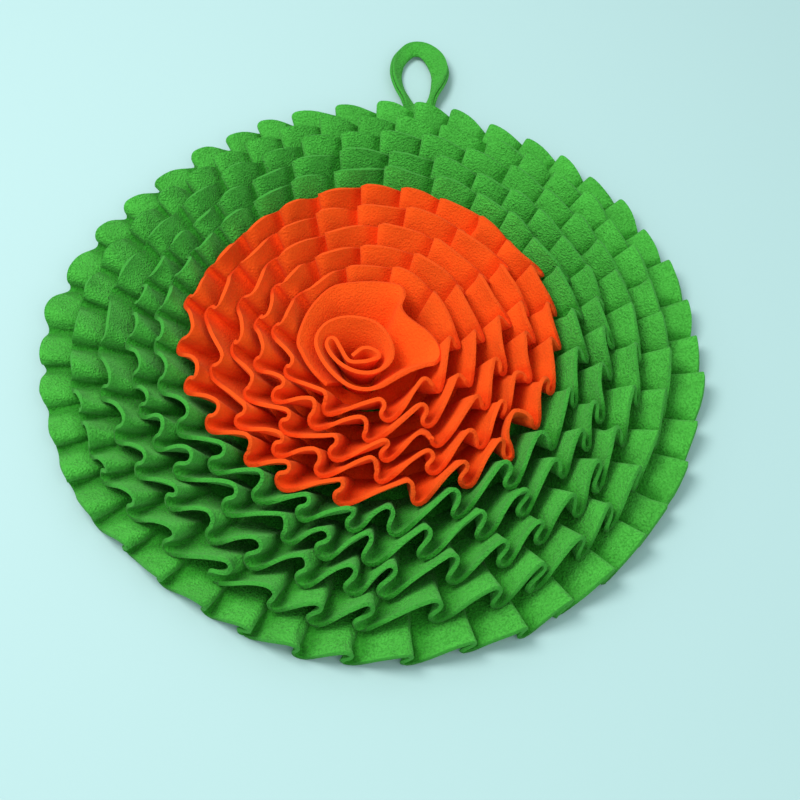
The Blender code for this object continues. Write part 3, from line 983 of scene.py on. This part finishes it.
GREEN, ORANGE = Fleece.GREEN, Fleece.ORANGE
ROWS = (
    Ruffle("green_ruffle_1", GREEN, 182.0, 219.5, 10.0, 15.5, 144.0, 0.0, 0.0, 0),
    Ruffle("green_ruffle_2", GREEN, 164.0, 198.0, 21.5, 19.5, 146.0, 0.0, 0.0, 1),
    Ruffle("green_ruffle_3", GREEN, 147.0, 177.5, 28.5, 20.5, 141.0, 0.0, 0.0, 2),
    Ruffle("green_ruffle_4", GREEN, 130.0, 157.5, 32.5, 20.0, 137.0, 0.0, -0.4, 3),
    Ruffle("green_ruffle_5", GREEN, 113.0, 139.5, 35.0, 19.0, 134.0, 0.0, -1.2, 4),
    Ruffle("orange_ruffle_1", ORANGE, 96.5, 122.5, 36.5, 18.5, 131.0, 0.0, -2.3, 5),
    Ruffle("orange_ruffle_2", ORANGE, 80.2, 105.4, 37.6, 17.5, 129.0, -0.3, -3.9, 6),
    Ruffle("orange_ruffle_3", ORANGE, 64.5, 89.0, 38.0, 17.0, 128.0, -0.8, -5.6, 7),
    Ruffle("orange_ruffle_4", ORANGE, 49.0, 72.5, 38.5, 15.5, 126.0, -1.6, -7.4, 8),
    Ruffle("orange_ruffle_5", ORANGE, 36.0, 57.5, 38.5, 13.5, 120.0, -2.8, -9.2, 9),
)


@dataclass(frozen=True)
class PetalPoint:
    """A point of the rosette's top edge (mm), and how far its root is drawn in."""

    x: float
    y: float
    height: float
    lean: float = 0.55


@dataclass(frozen=True)
class Rosette:
    """The wound strip in the middle of the mat.

    The root is the top edge drawn in towards the middle by each point's lean, and
    the seam allowance reaches on to a share of the root's distance.  Flare is the
    power by which the cloth opens from root to tip.  Cover shade is how dark the painted
    shade is at the root, and cover end the share by which it is gone.
    """

    name: str = "rosette"
    fleece: Fleece = Fleece.ORANGE
    middle: tuple[float, float] = (-9.0, -16.0)
    allowance: float = 0.66
    flare: float = 1.25
    seam_width: float = 1.05
    cover_end: float = 0.85
    cover_shade: float = 0.75
    steps: int = 9
    shares: tuple[float, ...] = (
        0.0, 0.25, 0.45, 0.6, 0.7, 0.78, 0.85, 0.9, 0.94, 0.97, 0.985, 1.0,
    )
    edge: tuple[PetalPoint, ...] = tuple(PetalPoint(*row) for row in (
        (-12.5, -20.5, 31.5), (-5.0, -14.5, 32.0), (3.0, -17.0, 33.0), (5.5, -22.5, 33.8),
        (0.0, -25.5, 34.2), (-6.0, -27.0, 34.5), (-14.5, -26.5, 35.0), (-20.0, -17.5, 35.5),
        (-24.0, -10.0, 36.0), (-28.0, -9.5, 36.0), (-29.5, -15.0, 36.0), (-25.5, -23.5, 36.0),
        (-18.0, -31.5, 36.5), (-8.5, -36.5, 37.0), (1.5, -37.0, 37.5), (10.5, -32.0, 38.0),
        (14.5, -23.0, 39.0), (11.0, -9.5, 40.0), (2.3, 1.0, 40.0), (-12.5, 5.2, 40.0),
        (-26.0, 2.5, 40.0), (-34.0, -5.0, 39.5), (-36.5, -14.5, 39.0), (-33.0, -26.0, 38.5),
        (-25.0, -38.0, 38.0, 0.50), (-15.0, -46.5, 37.0, 0.50), (-4.5, -49.5, 36.5, 0.50),
        (6.0, -47.5, 36.5, 0.50), (16.0, -41.5, 37.0, 0.58), (25.5, -36.0, 37.5, 0.62),
        (35.0, -32.0, 37.5, 0.66), (42.5, -29.5, 37.0, 0.70), (46.0, -23.0, 36.5, 0.70),
        (44.0, -13.5, 36.5, 0.70), (37.5, -4.5, 37.0, 0.66), (29.0, 2.5, 37.5, 0.60),
        (22.5, 9.0, 38.0), (20.0, 16.0, 38.0, 0.45), (22.5, 24.5, 38.5, 0.45),
        (20.5, 31.0, 39.0, 0.45), (12.0, 33.5, 39.0, 0.45), (-1.0, 34.5, 39.0, 0.45),
        (-15.0, 33.5, 39.0, 0.45), (-25.5, 31.0, 38.5, 0.45), (-34.0, 23.5, 38.0, 0.48),
        (-42.0, 11.5, 37.0, 0.52), (-47.0, -2.5, 36.5), (-48.5, -13.0, 36.0), (-45.5, -21.0, 35.5),
        (-41.5, -28.5, 34.0), (-36.0, -35.0, 31.5), (-29.0, -41.0, 28.0),
    ))

    def build(self) -> bpy.types.Object:
        """Returns:
            The rosette's object.
        """
        path = smooth_curve([astuple(point) for point in self.edge], self.steps)
        tip, lean = path[:, :3], path[:, 3:4]
        middle = np.array(self.middle)
        root = np.hstack((
            tip[:, :2] * (1.0 - lean) + middle * lean,
            np.full((len(tip), 1), SEAM_LEVEL / MM),
        ))
        flat = middle + (root[:, :2] - middle) * self.allowance
        lines = [np.hstack((flat, root[:, 2:] + 0.5 * CLOTH / MM)) * MM]
        for share in self.shares:
            level = root[:, :2] + share ** self.flare * (tip[:, :2] - root[:, :2])
            height = root[:, 2:] + share * (tip[:, 2:] - root[:, 2:])
            lines.append(np.hstack((level, height)) * MM)
        marks = [0.0] * len(self.shares) + [1.0]
        # Painted shade, darkest on the seam allowance and the root, gone by cover end.
        darks = [1.0] + [max(0.0, (self.cover_end - share) / self.cover_end) for share in self.shares]
        shades = [np.full(len(tip), self.cover_shade * dark) for dark in darks]
        thing = stack_lines(CLOTH_NAME.format(self.name), lines, False, marks, shades)
        width = float(np.mean(np.linalg.norm(lines[-1] - lines[1], axis=1)))
        width = width * self.seam_width
        finish_cloth(thing, self.fleece)
        seat(thing, self.fleece, self.name)
        return thing


@dataclass(frozen=True)
class StrapPoint:
    """A point of the hanging loop: its place, the strap's size (mm) and its roll (degrees)."""

    x: float
    y: float
    height: float
    width: float
    thickness: float
    roll: float


@dataclass(frozen=True)
class HangingLoop:
    """The folded strap of the hanging loop.

    Layer is how thick each of its two layers is pressed.  Near edge is how much of
    the cut edge's darker colour, which is painted shade, the lines beside it take.  Inside
    is how far the painted shade on the middle of both layers reaches, as a share of the
    width, and inner shade is how dark it is.
    """

    name: str = "hanging_loop"
    fleece: Fleece = Fleece.GREEN
    steps: int = 8
    layer: float = 2.0 * MM
    rim: float = 0.7 * MM
    near_edge: float = 0.3
    inside: float = 0.4
    inner_shade: float = 0.15
    path: tuple[StrapPoint, ...] = tuple(StrapPoint(*row) for row in (
        (24.4, 183.0, 1.55, 9.0, 2.1, 0.0), (27.5, 193.0, 1.55, 9.0, 2.1, 0.0),
        (31.0, 205.0, 1.7, 9.0, 2.4, 0.0), (32.6, 216.0, 2.5, 9.0, 3.4, 0.0),
        (31.6, 225.0, 3.9, 9.0, 4.6, 16.0), (28.0, 235.0, 5.5, 9.5, 5.0, 50.0),
        (22.6, 248.0, 6.0, 10.0, 5.0, 54.0), (19.9, 263.0, 6.2, 10.2, 5.0, 50.0),
        (22.8, 278.5, 6.4, 11.0, 5.0, 38.0), (31.5, 289.5, 6.6, 11.5, 5.0, 24.0),
        (42.5, 289.5, 6.6, 13.0, 5.0, 12.0), (51.5, 279.5, 6.6, 15.5, 5.0, 8.0),
        (55.6, 265.0, 6.8, 14.5, 5.0, 20.0), (53.5, 250.0, 6.8, 13.0, 5.0, 44.0),
        (48.5, 236.0, 6.2, 10.0, 5.0, 60.0), (44.6, 225.0, 4.3, 9.0, 4.6, 30.0),
        (42.2, 215.0, 2.5, 9.0, 3.4, 0.0), (40.6, 204.0, 1.7, 9.0, 2.4, 0.0),
        (37.3, 192.0, 1.55, 9.0, 2.1, 0.0), (34.2, 181.4, 1.55, 9.0, 2.1, 0.0),
    ))
    # The strap's section, folded on its left, as shares of its width and thickness.
    section: tuple[tuple[float, float], ...] = (
        (0.46, 0.27), (0.20, 0.25), (-0.10, 0.27), (-0.34, 0.27), (-0.46, 0.20), (-0.50, 0.0),
        (-0.46, -0.20), (-0.34, -0.27), (-0.10, -0.27), (0.20, -0.25), (0.46, -0.27),
    )

    def build(self) -> bpy.types.Object:
        """Returns:
            The loop's object.
        """
        path = smooth_curve([astuple(point) for point in self.path], self.steps)
        _, _, height, width, thickness, roll = path.T
        roll = np.radians(roll)
        steps = np.gradient(path[:, :2], axis=0)
        steps /= np.linalg.norm(steps, axis=1)[:, None]
        left = np.stack((-steps[:, 1], steps[:, 0]), axis=1)
        lines = []
        shades = []
        for across, up in self.section:
            level = across * width * np.cos(roll) - up * thickness * np.sin(roll)
            rise = across * width * np.sin(roll) + up * thickness * np.cos(roll)
            lines.append(np.hstack((
                path[:, :2] + level[:, None] * left, (height + rise)[:, None],
            )) * MM)
            # Painted shade on the middle of both layers of the strap.
            shades.append(np.full(len(path), self.inner_shade if abs(across) < self.inside else 0.0))
        marks = [1.0, self.near_edge] + [0.0] * (len(lines) - 4) + [self.near_edge, 1.0]
        thing = stack_lines(CLOTH_NAME.format(self.name), lines, False, marks, shades)
        finish_cloth(thing, self.fleece, self.layer, self.rim)
        seat(thing, self.fleece, self.name)
        return thing


@dataclass(frozen=True)
class BaseCloth:
    """The round cloth that the rows are sewn to."""

    name: str = BASE_NODE
    fleece: Fleece = Fleece.GREEN
    radius: float = 183.0 * MM
    sides: int = 96
    rim: float = 0.8 * MM
    rim_segments: int = 3

    def build(self) -> bpy.types.Object:
        """Returns:
            The base cloth's object.
        """
        mesh = bmesh.new()
        mesh.verts.layers.float.new(CUT_EDGE)
        bmesh.ops.create_cone(
            mesh, cap_ends=True, cap_tris=False, segments=self.sides,
            radius1=self.radius, radius2=self.radius, depth=BASE_TOP,
        )
        bmesh.ops.translate(mesh, verts=mesh.verts, vec=(0.0, 0.0, 0.5 * BASE_TOP))
        rims = [
            edge for edge in mesh.edges
            if abs(edge.verts[0].co.z - edge.verts[1].co.z) < 0.5 * BASE_TOP
        ]
        bmesh.ops.bevel(
            mesh, geom=rims, offset=self.rim, segments=self.rim_segments, profile=0.5,
            affect="EDGES", material=-1,
        )
        thing = mesh_object(CLOTH_NAME.format(self.name), mesh)
        thing.data.materials.append(FINISHES[self.fleece].material())
        seat(thing, self.fleece, self.name)
        return thing


@dataclass(frozen=True)
class Lamp:
    """A round soft lamp that looks at the mat: its place and size (m), and power (W)."""

    name: str
    place: tuple[float, float, float]
    size: float
    power: float

    def hang(self) -> None:
        """Hang the lamp."""
        light = bpy.data.lights.new(self.name, "AREA")
        light.shape = "DISK"
        light.size = self.size
        light.energy = self.power
        thing = link(bpy.data.objects.new(self.name, light))
        thing.location = self.place
        thing.rotation_euler = (-Vector(self.place)).to_track_quat("-Z", "Y").to_euler()


@dataclass(frozen=True)
class Studio:
    """A pale floor, soft light and the camera.

    The camera looks at the mat's middle from above its near side, at an elevation
    (degrees) and a distance (m).  Focal length and middle are in the pixels of a
    square frame.
    """

    floor_colour: tuple[float, float, float] = (0.410, 0.580, 0.570)
    floor_roughness: float = 0.85
    floor_size: float = 8.0
    sky_colour: tuple[float, float, float] = (0.80, 0.97, 1.0)
    sky_strength: float = 0.72
    lamps: tuple[Lamp, ...] = (
        Lamp("key", (-0.70, 0.15, 1.50), 0.9, 22.0),
        Lamp("fill", (0.5, -0.9, 1.2), 1.2, 4.0),
    )
    elevation: float = 57.5
    distance: float = 0.87
    frame_px: float = 800.0
    focal_px: float = 1255.0
    middle_px: tuple[float, float] = (371.0, 355.0)
    sensor_mm: float = 36.0

    def build_floor(self) -> None:
        """Lay the floor."""
        mesh = bmesh.new()
        bmesh.ops.create_grid(mesh, x_segments=1, y_segments=1, size=0.5 * self.floor_size)
        floor = mesh_object("floor", mesh)
        material = bpy.data.materials.new("floor")
        material.use_nodes = True
        shader = material.node_tree.nodes["Principled BSDF"]
        colour = (*self.floor_colour, 1.0)
        fill_inputs(shader, {"Base Color": colour, "Roughness": self.floor_roughness})
        floor.data.materials.append(material)

    def build_light(self) -> None:
        """Hang the lamps and set the sky."""
        world = bpy.data.worlds.new("studio")
        world.use_nodes = True
        sky = world.node_tree.nodes["Background"]
        fill_inputs(sky, {"Color": (*self.sky_colour, 1.0), "Strength": self.sky_strength})
        bpy.context.scene.world = world
        for lamp in self.lamps:
            lamp.hang()

    def build_camera(self) -> None:
        """Set the camera."""
        lens = bpy.data.cameras.new("camera")
        lens.sensor_width = self.sensor_mm
        lens.lens = self.sensor_mm * self.focal_px / self.frame_px
        lens.shift_x = (0.5 * self.frame_px - self.middle_px[0]) / self.frame_px
        lens.shift_y = (self.middle_px[1] - 0.5 * self.frame_px) / self.frame_px
        camera = link(bpy.data.objects.new("camera", lens))
        tilt = math.radians(self.elevation)
        camera.location = (0.0, -self.distance * math.cos(tilt), self.distance * math.sin(tilt))
        camera.rotation_euler = (-camera.location).to_track_quat("-Z", "Y").to_euler()
        bpy.context.scene.camera = camera

    def build(self) -> None:
        """Build the whole studio."""
        self.build_floor()
        self.build_light()
        self.build_camera()
        bpy.context.scene.view_settings.view_transform = "Standard"


def main() -> None:
    """Build every piece of the mat and its studio."""
    logging.basicConfig(level=logging.INFO, format="%(name)s: %(message)s")
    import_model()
    Studio().build()
    BaseCloth().build()
    surfaces = Easing().ease([row.surface() for row in ROWS])
    for row, surface in zip(ROWS, surfaces):
        row.build(surface)
    Rosette().build()
    HangingLoop().build()


if __name__ == "__main__":
    main()
